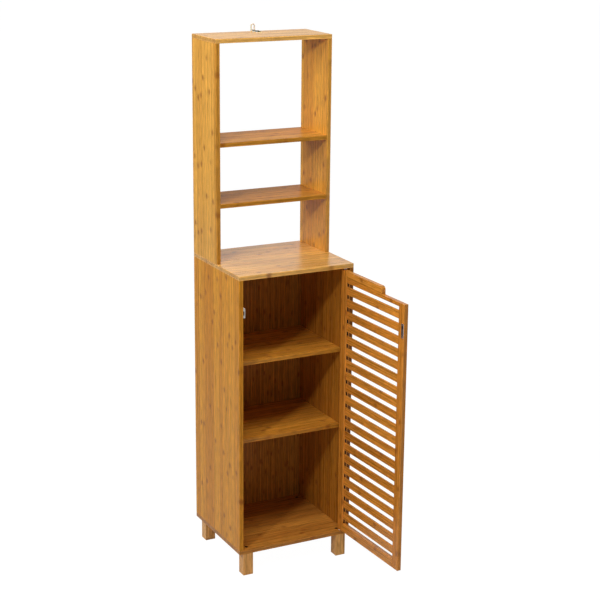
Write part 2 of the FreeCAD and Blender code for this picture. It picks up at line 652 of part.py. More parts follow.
def hinge_bush(name, z, turn):
    """A flanged bush with a blind bore. Its flange starts at z and its barrel runs along its own Z."""
    body = new_body(name)
    for part, diameter, length in (
        ("flange", "Size.flange", "Size.flange_board"),
        ("barrel", "Size.bush", "Size.flange_board + Size.bush_depth"),
    ):
        sketch = sketch_on(body, part, "z")
        circles(sketch, [("0", "0")], diameter)
        pad(body, sketch, "z", length)
    bore_depth = "Size.flange_board + Size.pin_in_bush + Size.play"
    bore(body, "bore", "z", "0", [("0", "0")], f"Size.pin + {HEAD_PLAY}", bore_depth, True)
    put(body, PIVOT_X, PIVOT_Y, z, turn)


hinge_bush("hinge_bush_top", f"{TOP_UNDERSIDE} - Size.flange_board", UPRIGHT)
hinge_bush("hinge_bush_bottom", f"{FLOOR_TOP} + Size.flange_board", UPSIDE_DOWN)

for name, foot, head in (
    ("hinge_pin_top", f"({DOOR_TOP} - Size.pin_in_door)", f"({TOP_UNDERSIDE} + Size.pin_in_bush)"),
    ("hinge_pin_bottom", f"({FLOOR_TOP} - Size.pin_in_bush)", f"({DOOR_FOOT} + Size.pin_in_door)"),
):
    hinge_pin = rod(name, "Size.pin", f"{head} - {foot}", PIVOT_X, PIVOT_Y, foot)
    hinge_pin.Label = name
    nodes.append(hinge_pin)

# The door, drawn closed and swung open about the hinge axis.

SLAT_INSET = "(Size.door_board - Size.slat_board) / 2"
SLAT_LEFT = f"({DOOR_LEFT} + Size.stile - Size.slat_bite)"
SLAT_LENGTH = f"({RAIL_LENGTH} + 2 * Size.slat_bite)"


def stile(name, left, inner_edge, forward, height):
    """An upright of the door, with one long groove in its inner edge for the rails and slats."""
    body = board(
        name, "y", ("Size.stile", "Size.door_board", height), (left, "Size.door_setback", DOOR_FOOT),
        on_door=True,
    )
    recess(
        body, "groove", "x", inner_edge, (SLAT_INSET, "Size.tenon_step"),
        ("Size.slat_board", "Size.door_height - Size.notch_drop - 2 * Size.tenon_step"),
        "Size.slat_bite", forward,
    )
    return body


hinge_stile = stile("door_hinge_stile", f"{DOOR_RIGHT} - Size.stile", "0", True, "Size.door_height")
pin_spot = [("Size.stile - Size.pivot_inset", "Size.door_board / 2")]
pin_hole = f"Size.pin + {HEAD_PLAY}"
bore(hinge_stile, "bottom_pin", "z", "0", pin_spot, pin_hole, "Size.pin_in_door", True)
bore(hinge_stile, "top_pin", "z", "Size.door_height", pin_spot, pin_hole, "Size.pin_in_door", False)

latch_stile = stile(
    "door_latch_stile", DOOR_LEFT, "Size.stile", False, "Size.door_height - Size.notch_drop",
)
STRIKE_MIDDLE = "(Size.strike_edge + Size.strike_width / 2)"
strike_spots = [(STRIKE_MIDDLE, f"{z} - {DOOR_FOOT}") for z in STRIKE_SCREW_HEIGHTS]
strike_hole = f"Size.strike_screw_shank + {HEAD_PLAY}"
bore(
    latch_stile, "strike_screws", "y", "Size.door_board", strike_spots, strike_hole,
    "Size.strike_screw_length", False,
)


def rail(name, corners, tenon_height, foot):
    """A rail between the stiles: its outline, eased, and one long tenon through its middle."""
    body = new_body(name)
    sketch = sketch_on(body, "outline", "y")
    outline(sketch, corners)
    blade = pad(body, sketch, "y", "Size.door_board")
    if len(corners) > 4:
        blade = round_notch(body, blade)
    ease(body, blade, "Size.edge_round")
    tenon_sketch = sketch_on(body, "tenon", "y", "Size.door_board / 2")
    rectangle(tenon_sketch, "0", "Size.tenon_step", SLAT_LENGTH, tenon_height)
    pad(body, tenon_sketch, "y", "Size.slat_board", both_ways=True)
    put(body, SLAT_LEFT, "Size.door_setback", f"{DOOR_FOOT} + {foot}", on_door=True)


def round_notch(body, blade):
    """Round the notch's upper corner, and fill in its lower one a little."""
    doc.recompute()
    low_height = float(sheet.get("top_rail")) - float(sheet.get("notch_drop"))
    upper = max(edge.BoundBox.ZMin for edge in blade.Shape.Edges)
    notch = min(edge.BoundBox.XMin for edge in blade.Shape.Edges if edge.BoundBox.ZMin == upper)

    def crosswise_at(edge, height):
        box = edge.BoundBox
        return box.YLength > 1 and abs(box.XMin - notch) < 0.1 and abs(box.ZMin - height) < 0.1

    rounded = ease(body, blade, "Size.notch_round", lambda edge: crosswise_at(edge, upper))
    return ease(body, rounded, "Size.notch_fillet", lambda edge: crosswise_at(edge, low_height))


rail_end = f"Size.slat_bite + {RAIL_LENGTH}"
notch_x = f"{rail_end} + Size.stile - Size.notch_start"
rail(
    "door_top_rail",
    [
        ("Size.slat_bite", "0"), (rail_end, "0"), (rail_end, "Size.top_rail"), (notch_x, "Size.top_rail"),
        (notch_x, LOW_TOP_RAIL), ("Size.slat_bite", LOW_TOP_RAIL),
    ],
    f"{LOW_TOP_RAIL} - 2 * Size.tenon_step", "Size.door_height - Size.top_rail",
)
rail(
    "door_bottom_rail",
    [
        ("Size.slat_bite", "0"), (rail_end, "0"), (rail_end, "Size.bottom_rail"),
        ("Size.slat_bite", "Size.bottom_rail"),
    ],
    "Size.bottom_rail - 2 * Size.tenon_step", "0",
)
slat_count = int(sheet.get("slat_count"))
for number in range(1, slat_count + 1):
    slats_below = slat_count - number
    board(
        f"door_slat_{number:02d}", "y", (SLAT_LENGTH, "Size.slat_board", SLAT_HEIGHT),
        (
            SLAT_LEFT, f"Size.door_setback + {SLAT_INSET}",
            f"{DOOR_FOOT} + {FIRST_SLAT} + {slats_below} * {SLAT_PITCH}",
        ),
        on_door=True,
    )

strike = board(
    "strike_plate", "y", ("Size.strike_width", "Size.strike_board", "Size.strike_height"),
    (
        f"{DOOR_LEFT} + Size.strike_edge", "Size.door_setback + Size.door_board",
        "Size.strike_center - Size.strike_height / 2",
    ),
    "Size.metal_round", on_door=True,
)
plate_spots = [
    ("Size.strike_width / 2", f"Size.strike_height / 2 {sign} Size.strike_screw_row") for sign in "+-"
]
strike_head_hole = f"Size.strike_screw_head + {HEAD_PLAY}"
bore(strike, "screws", "y", "0", plate_spots, strike_hole, "2 * Size.strike_board", True)
bore(
    strike, "screw_heads", "y", "Size.strike_board", plate_spots, strike_head_hole,
    "Size.strike_screw_head_height", False,
)
group(
    "strike_screws",
    [
        socket_screw(
            f"strike_screw_{i}", "strike_screw", f"{DOOR_LEFT} + {STRIKE_MIDDLE}",
            "Size.door_setback + Size.door_board + Size.strike_board", z, ALONG_Y,
        )
        for i, z in enumerate(STRIKE_SCREW_HEIGHTS)
    ],
    on_door=True,
)

# The wall tie on the rack's top: an eyelet on a flat foot, held down by a steel plate and a screw.

eyelet = new_body("tie_eyelet")
foot_sketch = sketch_on(eyelet, "foot", "z")
rectangle(foot_sketch, "0", "0", "Size.tie_width", "Size.tie_foot")
pad(eyelet, foot_sketch, "z", "Size.tie_foot_board")
ring_sketch = sketch_on(eyelet, "ring", "y", "Size.tie_foot - Size.tie_thick")
rectangle(ring_sketch, "0", "0", "Size.tie_width", "Size.tie_height")
ring = pad(eyelet, ring_sketch, "y", "Size.tie_thick")
ring = ease(
    eyelet, ring, "Size.tie_corner",
    lambda edge: edge.BoundBox.YLength > 1 and edge.BoundBox.ZMin > float(sheet.get("tie_height")) - 0.1,
)
opening = recess(
    eyelet, "opening", "y", "Size.tie_foot", ("Size.tie_band", "Size.tie_band + 1"),
    ("Size.tie_width - 2 * Size.tie_band", "Size.tie_height - 2 * Size.tie_band - 1"),
    "2 * Size.tie_thick", False,
)


def inside_ring(edge):
    """An edge of the opening that runs from the ring's front to its rear."""
    box = edge.BoundBox
    band = float(sheet.get("tie_band"))
    width = float(sheet.get("tie_width"))
    on_opening = abs(box.XMin - band) < 0.01 or abs(box.XMin - (width - band)) < 0.01
    return on_opening and box.YLength > 1 and box.ZLength < 0.01


ease(eyelet, opening, "Size.tie_inner_corner", inside_ring)
screw_in_foot = [("Size.tie_width / 2", "Size.tie_screw_row")]
bore(eyelet, "screw", "z", "0", screw_in_foot, tie_hole, "2 * Size.tie_foot_board", True)
put(eyelet, "Size.tie_offset - Size.tie_width / 2", TIE_FRONT, "Size.rack_top")

tie_plate = board(
    "tie_plate", "z", ("Size.tie_plate_width", "Size.tie_plate_length", "Size.tie_plate_board"),
    ("Size.tie_offset - Size.tie_plate_width / 2", TIE_FRONT, "Size.rack_top + Size.tie_foot_board"),
    "Size.metal_round",
)
screw_in_plate = [("Size.tie_plate_width / 2", "Size.tie_screw_row")]
bore(tie_plate, "screw", "z", "0", screw_in_plate, tie_hole, "2 * Size.tie_plate_board", True)

tie_screw = socket_screw(
    "tie_screw", "tie_screw", "Size.tie_offset", f"{TIE_FRONT} + Size.tie_screw_row",
    "Size.rack_top + Size.tie_foot_board + Size.tie_plate_board + Size.tie_screw_head_height",
)
tie_screw.Label = "tie_screw"
nodes.append(tie_screw)

# Check and write.

doc.recompute()
for item in doc.Objects:
    if "Invalid" in item.State or "Error" in item.State:
        raise ValueError(f"{item.Name} did not build: {item.State}")
whole = FreeCAD.BoundBox()
os.makedirs("parts", exist_ok=True)
for node in nodes:
    if node.Shape.isNull() or not node.Shape.isValid():
        raise ValueError(f"{node.Label} has no valid shape")
    whole.add(node.Shape.BoundBox)
    node.Shape.exportStep(f"parts/{node.Label}.step")
print(f"{len(nodes)} pieces, X {whole.XMin:.2f} to {whole.XMax:.2f}, Y {whole.YMin:.2f} to "
      f"{whole.YMax:.2f}, Z {whole.ZMin:.2f} to {whole.ZMax:.2f}")
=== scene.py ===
# %% [markdown]
# # A tall bathroom cabinet in laminated bamboo
# The shapes come from a CAD model that is loaded below as a fixed frame. This lesson gives its pieces
# their finishes, lights them as a photo studio would, and places the camera. A length is in metres, unless
# its name ends in `_mm` or `_MM`.

import json
import math

import bmesh
import bpy
from mathutils import Matrix, Vector


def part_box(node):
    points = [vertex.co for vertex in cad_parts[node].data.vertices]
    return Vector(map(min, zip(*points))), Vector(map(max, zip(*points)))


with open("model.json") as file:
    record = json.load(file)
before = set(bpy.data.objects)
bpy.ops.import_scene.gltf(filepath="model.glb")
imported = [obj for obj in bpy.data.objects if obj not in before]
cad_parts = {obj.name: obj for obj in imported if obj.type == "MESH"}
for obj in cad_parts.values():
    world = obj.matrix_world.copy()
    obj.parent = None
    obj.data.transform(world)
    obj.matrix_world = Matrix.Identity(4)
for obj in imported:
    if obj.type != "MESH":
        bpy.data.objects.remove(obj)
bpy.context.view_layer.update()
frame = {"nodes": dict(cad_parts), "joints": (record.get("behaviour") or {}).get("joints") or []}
nodes = frame["nodes"]

# %% [markdown]
# ## Two small helpers
# Colours are easiest to write as the hex values that a paint program shows. Those are sRGB numbers, and
# a shader wants linear ones, so one function turns them. A second one adds a shader node, with the
# settings on the node itself and the values or links on its sockets. Most sockets go by name or by their
# place in the list. A Mix node of colours has its factor at 0, its colours at 6 and 7, and the mixed
# colour at output 2.

# %% Colours and nodes
def colour(hex_value):
    """The linear colour of an sRGB hex value such as "c8924a", with alpha 1."""
    channels = [int(hex_value[i:i + 2], 16) / 255 for i in (0, 2, 4)]
    linear = [c / 12.92 if c <= 0.04045 else ((c + 0.055) / 1.055) ** 2.4 for c in channels]
    return (*linear, 1.0)


def add_node(tree, kind, inputs=None, **settings):
    """Add a node to a tree. Each input is a value, or the output socket that it is linked to."""
    node = tree.nodes.new(kind)
    for name, value in settings.items():
        setattr(node, name, value)
    for socket, value in (inputs or {}).items():
        if isinstance(value, bpy.types.NodeSocket):
            tree.links.new(value, node.inputs[socket])
        else:
            node.inputs[socket].default_value = value
    return node


print("mid grey is", [round(c, 3) for c in colour("808080")])

# %% [markdown]
# ## Laminated bamboo
# The boards are glued up from bamboo strips about 20 mm wide. Each strip has its own tone, fine straight
# fibres, and every 19 cm or so the brown scar of a node, where the cane had a joint. Through its thickness
# a board has three plies, and they show as bands along its edges.
#
# An image could hold all this, but it would repeat, and it would have to be fitted to each board. A
# pattern in nodes reads the place of a point in millimetres instead, so it fits every board, runs on
# round the edges, and is right at any distance. It is made once, as a node group, and each board feeds it
# its own directions, sizes and tones.

# %% Open the node group
bamboo_group = bpy.data.node_groups.new("laminated_bamboo", "ShaderNodeTree")
for name, kind in (
    ("Place", "NodeSocketVector"),  # mm: along the fibres, across the strips, through the board
    ("Board", "NodeSocketFloat"),  # a number of its own for each board
    ("Strip", "NodeSocketFloat"),  # width of a strip, mm
    ("Thickness", "NodeSocketFloat"),  # of the board, mm
    ("Core", "NodeSocketFloat"),  # brightness of the core ply beside the outer plies
    ("Pale", "NodeSocketColor"),
    ("Deep", "NodeSocketColor"),
):
    bamboo_group.interface.new_socket(name, in_out="INPUT", socket_type=kind)
for name, kind in (
    ("Colour", "NodeSocketColor"),
    ("Roughness", "NodeSocketFloat"),
    ("Normal", "NodeSocketVector"),
):
    bamboo_group.interface.new_socket(name, in_out="OUTPUT", socket_type=kind)
given = bamboo_group.nodes.new("NodeGroupInput").outputs
along, across, through = add_node(bamboo_group, "ShaderNodeSeparateXYZ", {0: given["Place"]}).outputs
print("the group takes", [socket.name for socket in given if socket.name])

# %% [markdown]
# The first step finds which strip a point is on. Dividing by the strip's width and rounding down numbers
# the strips, and what is left over says how far across its strip the point is. White noise turns the
# numbers into tones that have nothing to do with each other, as in a real board. Each board starts part
# of a strip further on, because boards are cut from wider panels and rarely start on a glue line.

# %% Strips and their tones
BOARD_OFFSET = 0.37  # of a strip, for each step of the board's number
strip_place = add_node(
    bamboo_group, "ShaderNodeMath", {0: across, 1: given["Strip"]}, operation="DIVIDE",
).outputs[0]
strip_place = add_node(
    bamboo_group, "ShaderNodeMath", {0: given["Board"], 1: BOARD_OFFSET, 2: strip_place},
    operation="MULTIPLY_ADD",
).outputs[0]
strip_number = add_node(bamboo_group, "ShaderNodeMath", {0: strip_place}, operation="FLOOR").outputs[0]
in_strip = add_node(bamboo_group, "ShaderNodeMath", {0: strip_place}, operation="FRACT").outputs[0]
strip_key = add_node(
    bamboo_group, "ShaderNodeCombineXYZ", {"X": strip_number, "Y": given["Board"]},
).outputs[0]
strip_dice = add_node(bamboo_group, "ShaderNodeTexWhiteNoise", {"Vector": strip_key}).outputs["Color"]
tone_dice, slide_dice, start_dice = add_node(bamboo_group, "ShaderNodeSeparateColor", {0: strip_dice}).outputs
strip_tone = add_node(
    bamboo_group, "ShaderNodeMix", {0: tone_dice, 6: given["Pale"], 7: given["Deep"]}, data_type="RGBA",
).outputs[2]
print(f"a board's strips start {BOARD_OFFSET} of a strip after the last board's")

# %% [markdown]
# Fibres are noise that is stretched about fifty times along the strip. Each strip slides the noise by
# its own amount, so the streaks stop at the glue line. The finest fibres are 0.3 mm wide, which is less
# than a pixel, so the streaks start at 5 mm and only their last octave is as fine as real ones.

# %% Fibres
FIBRE_LENGTH_MM = 260
FIBRE_WIDTH_MM = 5.0
FIBRE_DEPTH_MM = 3.0
FARTHEST_SLIDE_MM = 9000.0
fibre_along = add_node(
    bamboo_group, "ShaderNodeMath", {0: slide_dice, 1: FARTHEST_SLIDE_MM, 2: along},
    operation="MULTIPLY_ADD",
).outputs[0]
fibre_place = add_node(
    bamboo_group, "ShaderNodeCombineXYZ", {"X": fibre_along, "Y": across, "Z": through},
).outputs[0]
fibre_place = add_node(
    bamboo_group, "ShaderNodeVectorMath",
    {0: fibre_place, 1: (1 / FIBRE_LENGTH_MM, 1 / FIBRE_WIDTH_MM, 1 / FIBRE_DEPTH_MM)},
    operation="MULTIPLY",
).outputs[0]
fibres = add_node(
    bamboo_group, "ShaderNodeTexNoise",
    {"Vector": fibre_place, "Scale": 1.0, "Detail": 4.0, "Roughness": 0.65},
).outputs["Fac"]
fibre_shade = add_node(
    bamboo_group, "ShaderNodeMapRange",
    {0: fibres, "From Min": 0.3, "From Max": 0.7, "To Min": 0.7, "To Max": 1.26},
).outputs[0]
print(f"the fibres are {FIBRE_LENGTH_MM / FIBRE_WIDTH_MM:.0f} times as long as wide")

# %% [markdown]
# Between the long fibres, bamboo shows short dashes where the saw cut through bundles of them. They are
# a second noise, stretched only ten times. The real ones are about 1 mm wide, and these are drawn at
# 3.4 mm, because the render has one pixel for nearly 3 mm.

# %% Short dashes between the fibres
DASH_LENGTH_MM = 34
DASH_WIDTH_MM = 3.4
dash_place = add_node(
    bamboo_group, "ShaderNodeVectorMath",
    {0: given["Place"], 1: (1 / DASH_LENGTH_MM, 1 / DASH_WIDTH_MM, 1 / DASH_WIDTH_MM)},
    operation="MULTIPLY",
).outputs[0]
dashes = add_node(
    bamboo_group, "ShaderNodeTexNoise",
    {"Vector": dash_place, "Scale": 1.0, "Detail": 3.0, "Roughness": 0.6},
).outputs["Fac"]
dash_shade = add_node(
    bamboo_group, "ShaderNodeMapRange",
    {0: dashes, "From Min": 0.32, "From Max": 0.66, "To Min": 0.74, "To Max": 1.2},
).outputs[0]
print(f"the dashes are {DASH_LENGTH_MM / DASH_WIDTH_MM:.0f} times as long as wide")

# %% [markdown]
# A node of the cane leaves an oval scar with ragged ends, a little longer than wide, and a faint line
# across the strip. Each strip has one node every 19 cm, starts at its own place, and throws dice again for
# every node, for how dark the scar is and where it lies across the strip.

# %% Where the nodes are
NODE_SPACING_MM = 190
MOST_NODES_SKIPPED = 11.0
node_start = add_node(
    bamboo_group, "ShaderNodeMath", {0: start_dice, 1: MOST_NODES_SKIPPED}, operation="MULTIPLY",
).outputs[0]
node_place = add_node(
    bamboo_group, "ShaderNodeMath", {0: along, 1: 1 / NODE_SPACING_MM, 2: node_start},
    operation="MULTIPLY_ADD",
).outputs[0]
node_number = add_node(bamboo_group, "ShaderNodeMath", {0: node_place}, operation="FLOOR").outputs[0]
node_key = add_node(
    bamboo_group, "ShaderNodeCombineXYZ", {"X": strip_number, "Y": node_number, "Z": given["Board"]},
).outputs[0]
node_dice = add_node(bamboo_group, "ShaderNodeTexWhiteNoise", {"Vector": node_key}).outputs["Color"]
dark_dice, across_dice, _ = add_node(bamboo_group, "ShaderNodeSeparateColor", {0: node_dice}).outputs
print(f"one node every {NODE_SPACING_MM} mm of a strip")

# %% [markdown]
# The distance from the node is measured along the strip, in millimetres, and noise moves it to and fro.
# That makes the scar's outline and the line across the strip ragged in the direction of the fibres.

# %% Ragged distance from the node
RAGGED_MM = 16.0
RAGGED_LENGTH_MM = 30
RAGGED_WIDTH_MM = 2.6
ragged_place = add_node(
    bamboo_group, "ShaderNodeVectorMath",
    {0: given["Place"], 1: (1 / RAGGED_LENGTH_MM, 1 / RAGGED_WIDTH_MM, 1 / RAGGED_WIDTH_MM)},
    operation="MULTIPLY",
).outputs[0]
ragged = add_node(
    bamboo_group, "ShaderNodeTexNoise", {"Vector": ragged_place, "Scale": 1.0, "Detail": 2.0},
).outputs["Fac"]
ragged = add_node(bamboo_group, "ShaderNodeMath", {0: ragged, 1: 0.5}, operation="SUBTRACT").outputs[0]
node_along = add_node(bamboo_group, "ShaderNodeMath", {0: node_place}, operation="FRACT").outputs[0]
node_along = add_node(
    bamboo_group, "ShaderNodeMath", {0: node_along, 1: NODE_SPACING_MM, 2: -NODE_SPACING_MM / 2},
    operation="MULTIPLY_ADD",
).outputs[0]
node_along = add_node(
    bamboo_group, "ShaderNodeMath", {0: ragged, 1: RAGGED_MM, 2: node_along}, operation="MULTIPLY_ADD",
).outputs[0]
print(f"noise moves the scar's edge by up to {RAGGED_MM / 2:.0f} mm")

# %% [markdown]
# The scar fades from its middle outwards, by the distance in an oval's own measure: 1 on the oval, 0 at
# its centre. The line across the strip is added where it is stronger than the scar.

# %% Scars of the nodes
SCAR_HALF_LENGTH_MM = 11
SCAR_HALF_WIDTH_MM = 7.5
scar_center = add_node(
    bamboo_group, "ShaderNodeMapRange", {0: across_dice, "To Min": 0.25, "To Max": 0.75},
).outputs[0]
scar_across = add_node(
    bamboo_group, "ShaderNodeMath", {0: in_strip, 1: scar_center}, operation="SUBTRACT",
).outputs[0]
scar_across = add_node(
    bamboo_group, "ShaderNodeMath", {0: scar_across, 1: given["Strip"]}, operation="MULTIPLY",
).outputs[0]
scar_place = add_node(bamboo_group, "ShaderNodeCombineXYZ", {"X": node_along, "Y": scar_across}).outputs[0]
scar_place = add_node(
    bamboo_group, "ShaderNodeVectorMath",
    {0: scar_place, 1: (1 / SCAR_HALF_LENGTH_MM, 1 / SCAR_HALF_WIDTH_MM, 0)}, operation="MULTIPLY",
).outputs[0]
scar_distance = add_node(
    bamboo_group, "ShaderNodeVectorMath", {0: scar_place}, operation="LENGTH",
).outputs["Value"]
scar = add_node(
    bamboo_group, "ShaderNodeMapRange",
    {0: scar_distance, "From Min": 1.2, "From Max": 0.15, "To Min": 0.0, "To Max": 0.75},
    interpolation_type="SMOOTHSTEP",
).outputs[0]
print(f"a scar is up to {2 * SCAR_HALF_LENGTH_MM} by {2 * SCAR_HALF_WIDTH_MM:.0f} mm")

# %% Line across the strip, and the strength of both
LINE_HALF_WIDTH_MM = 2.4
line_distance = add_node(bamboo_group, "ShaderNodeMath", {0: node_along}, operation="ABSOLUTE").outputs[0]
node_line = add_node(
    bamboo_group, "ShaderNodeMapRange",
    {0: line_distance, "From Min": LINE_HALF_WIDTH_MM, "From Max": 0.4, "To Min": 0.0, "To Max": 0.3},
).outputs[0]
scar = add_node(bamboo_group, "ShaderNodeMath", {0: scar, 1: node_line}, operation="MAXIMUM").outputs[0]
node_strength = add_node(
    bamboo_group, "ShaderNodeMapRange", {0: dark_dice, "From Min": 0.05, "From Max": 0.7},
).outputs[0]
scar = add_node(bamboo_group, "ShaderNodeMath", {0: scar, 1: node_strength}, operation="MULTIPLY").outputs[0]
print(f"the line fades out {LINE_HALF_WIDTH_MM} mm from the node")

# %% [markdown]
# The glue line between two strips shows as a thin darker line. It is drawn a millimetre wide on each
# side, which is wider than real, so that it shows in the render.

# %% Glue lines between the strips
SEAM_MM = 1.1
from_other_side = add_node(
    bamboo_group, "ShaderNodeMath", {0: 1.0, 1: in_strip}, operation="SUBTRACT",
).outputs[0]
seam_distance = add_node(
    bamboo_group, "ShaderNodeMath", {0: in_strip, 1: from_other_side}, operation="MINIMUM",
).outputs[0]
seam_distance = add_node(
    bamboo_group, "ShaderNodeMath", {0: seam_distance, 1: given["Strip"]}, operation="MULTIPLY",
).outputs[0]
seam_shade = add_node(
    bamboo_group, "ShaderNodeMapRange",
    {0: seam_distance, "From Max": SEAM_MM, "To Min": 0.72, "To Max": 1.0},
).outputs[0]
print(f"a strip darkens over its last {SEAM_MM} mm")

# %% [markdown]
# The plies are read from the place through the board. The core, between the two faces, is browner and
# has a dark glue line on each side. On the faces nothing of this shows, because they lie inside the
# outer plies.

# %% Plies on the edges of a board
PLY_MM = 3.6
PLY_GLUE_MM = 0.7
from_far_face = add_node(
    bamboo_group, "ShaderNodeMath", {0: given["Thickness"], 1: through}, operation="SUBTRACT",
).outputs[0]
ply_depth = add_node(
    bamboo_group, "ShaderNodeMath", {0: through, 1: from_far_face}, operation="MINIMUM",
).outputs[0]
core = add_node(
    bamboo_group, "ShaderNodeMath", {0: ply_depth, 1: PLY_MM}, operation="GREATER_THAN",
).outputs[0]
core_shade = add_node(
    bamboo_group, "ShaderNodeMapRange", {0: core, "To Min": 1.0, "To Max": given["Core"]},
).outputs[0]
glue_distance = add_node(
    bamboo_group, "ShaderNodeMath", {0: ply_depth, 1: PLY_MM}, operation="SUBTRACT",
).outputs[0]
glue_distance = add_node(
    bamboo_group, "ShaderNodeMath", {0: glue_distance}, operation="ABSOLUTE",
).outputs[0]
glue_shade = add_node(
    bamboo_group, "ShaderNodeMapRange",
    {0: glue_distance, "From Max": PLY_GLUE_MM, "To Min": 0.66, "To Max": 1.0},
).outputs[0]
print(f"outer plies of {PLY_MM} mm")

# %% [markdown]
# All the shades multiply the strip's tone, and the scar's brown is mixed over them. The fibres also change
# the gloss a little and stand out by a hair's breadth, as they do under a thin lacquer.

# %% Colour, gloss and relief of the bamboo
NODE_BROWN = colour("8c4b17")
RELIEF_DEPTH = 0.0003
shade = fibre_shade
for factor in (dash_shade, seam_shade, core_shade, glue_shade):
    shade = add_node(bamboo_group, "ShaderNodeMath", {0: shade, 1: factor}, operation="MULTIPLY").outputs[0]
shaded = add_node(
    bamboo_group, "ShaderNodeVectorMath", {0: strip_tone, "Scale": shade}, operation="SCALE",
).outputs[0]
scarred = add_node(
    bamboo_group, "ShaderNodeMix", {0: scar, 6: shaded, 7: NODE_BROWN}, data_type="RGBA",
).outputs[2]
gloss = add_node(
    bamboo_group, "ShaderNodeMapRange",
    {0: fibres, "From Min": 0.3, "From Max": 0.7, "To Min": 0.24, "To Max": 0.34},
).outputs[0]
relief = add_node(bamboo_group, "ShaderNodeMath", {0: fibres, 1: seam_shade}, operation="MULTIPLY").outputs[0]
relief = add_node(
    bamboo_group, "ShaderNodeBump", {"Strength": 0.12, "Distance": RELIEF_DEPTH, "Height": relief},
).outputs[0]
add_node(bamboo_group, "NodeGroupOutput", {"Colour": scarred, "Roughness": gloss, "Normal": relief})
print(f"the bamboo group has {len(bamboo_group.nodes)} nodes")

# %% [markdown]
# ## Numbers for the pieces, and directions on the door
# The pattern needs a number of its own for each board. A piece's pass index serves, because a material
# can read it from the Object Info node, and one material then makes many boards that all differ.
#
# The door stands open, and its pattern should lie straight on the closed door. So a point on it is turned
# back about the hinge first, by the angle that closes it.

# %% Number the pieces and find the hinge
for number, name in enumerate(sorted(nodes), start=1):
    nodes[name].pass_index = number

HINGE = frame["joints"][0]
hinge_axis_at = Vector(HINGE["pos_m"])
closing_angle = math.radians(HINGE["range_deg"][0])
print("hinge axis at", [round(c, 3) for c in hinge_axis_at], "closing", round(math.degrees(closing_angle), 1))


# %% Points on the door, and points in a box
def on_closed_door(tree, point):
    """Where a point of the door is when the door is closed."""
    return add_node(
        tree, "ShaderNodeVectorRotate",
        {"Vector": point, "Center": hinge_axis_at, "Angle": closing_angle}, rotation_type="Z_AXIS",
    ).outputs[0]


def past_box(tree, point, low, high):
    """How far a point is past a box's faces, along each axis. Inside the box all three are below 0."""
    middle, half_size = (low + high) / 2, (high - low) / 2
    past = add_node(tree, "ShaderNodeVectorMath", {0: point, 1: middle}, operation="SUBTRACT").outputs[0]
    past = add_node(tree, "ShaderNodeVectorMath", {0: past}, operation="ABSOLUTE").outputs[0]
    past = add_node(tree, "ShaderNodeVectorMath", {0: past, 1: half_size}, operation="SUBTRACT").outputs[0]
    return add_node(tree, "ShaderNodeSeparateXYZ", {0: past}).outputs


print("a point on the closed door is found by turning it about", HINGE["name"])

# %% [markdown]
# The stiles of the door have a groove that the slats stand in. Its inside is painted nearly black, as
# the shade deep in the groove. The groove's own faces lie just on its box, so the box is taken a hair larger.

# %% Painted shade in a groove
# Near black, painted as the shade deep inside the groove.
GROOVE_SHADE_BROWN = colour("1c0d05")
GROOVE_SHADE_EDGE_MM = 0.05


def paint_groove_shade(tree, groove, point, wood):
    """Paint shade: darken the wood where a point lies inside the groove's box."""
    low, high = (Vector(corner) for corner in groove)
    past_along, past_across, past_through = past_box(tree, point, low, high)
    past = add_node(
        tree, "ShaderNodeMath", {0: past_along, 1: past_across}, operation="MAXIMUM",
    ).outputs[0]
    past = add_node(tree, "ShaderNodeMath", {0: past, 1: past_through}, operation="MAXIMUM").outputs[0]
    inside = add_node(
        tree, "ShaderNodeMath", {0: past, 1: GROOVE_SHADE_EDGE_MM}, operation="LESS_THAN",
    ).outputs[0]
    return add_node(
        tree, "ShaderNodeMix", {0: inside, 6: wood, 7: GROOVE_SHADE_BROWN}, data_type="RGBA",
    ).outputs[2]


# The darkening inside the groove's box is painted shade.
print(f"scorched up to {GROOVE_SHADE_EDGE_MM} mm past the groove's box")

# %% [markdown]
# ## Boards of the cabinet and the rack
# Each board gets its own material around the same group. It turns the board's own directions into
# along, across and through, starting from the board's lowest corner. The satin lacquer is the shader's
# own gloss, with an index of refraction of 1.5, as most lacquers have. How much of it shows differs from
# board to board in the photograph, so each board has its own shine, and 0.5 would be a full coat.

# %% Make bamboo for a board
LACQUER_IOR = 1.5


def lacquered_bamboo(
    name, directions, low_corner, thickness_mm, tones, strip_mm, shine, core=0.8, on_door=False, groove=None,
):
    """Laminated bamboo. directions names the axes along, across and through, such as "ZYX".

    groove is the box, in mm along, across and through, inside which the wood is painted dark as shade.
    """
    material = bpy.data.materials.new(name)
    material.use_nodes = True
    tree = material.node_tree
    shader = tree.nodes["Principled BSDF"]
    point = add_node(tree, "ShaderNodeTexCoord").outputs["Object"]
    if on_door:
        point = on_closed_door(tree, point)
    point = add_node(tree, "ShaderNodeVectorMath", {0: point, 1: low_corner}, operation="SUBTRACT").outputs[0]
    point = add_node(tree, "ShaderNodeVectorMath", {0: point, "Scale": 1000.0}, operation="SCALE").outputs[0]
    axes = add_node(tree, "ShaderNodeSeparateXYZ", {0: point}).outputs
    point = add_node(
        tree, "ShaderNodeCombineXYZ", {to: axes[axis] for to, axis in zip("XYZ", directions)},
    ).outputs[0]
    board_number = add_node(tree, "ShaderNodeObjectInfo").outputs["Object Index"]
    pattern = add_node(tree, "ShaderNodeGroup", {
        "Place": point, "Board": board_number, "Strip": strip_mm, "Thickness": thickness_mm,
        "Core": core, "Pale": colour(tones[0]), "Deep": colour(tones[1]),
    }, node_tree=bamboo_group).outputs
    wood = pattern["Colour"]
    if groove:
        wood = paint_groove_shade(tree, groove, point, wood)
    tree.links.new(wood, shader.inputs["Base Color"])
    tree.links.new(pattern["Roughness"], shader.inputs["Roughness"])
    tree.links.new(pattern["Normal"], shader.inputs["Normal"])
    shader.inputs["IOR"].default_value = LACQUER_IOR
    shader.inputs["Specular IOR Level"].default_value = shine
    return material


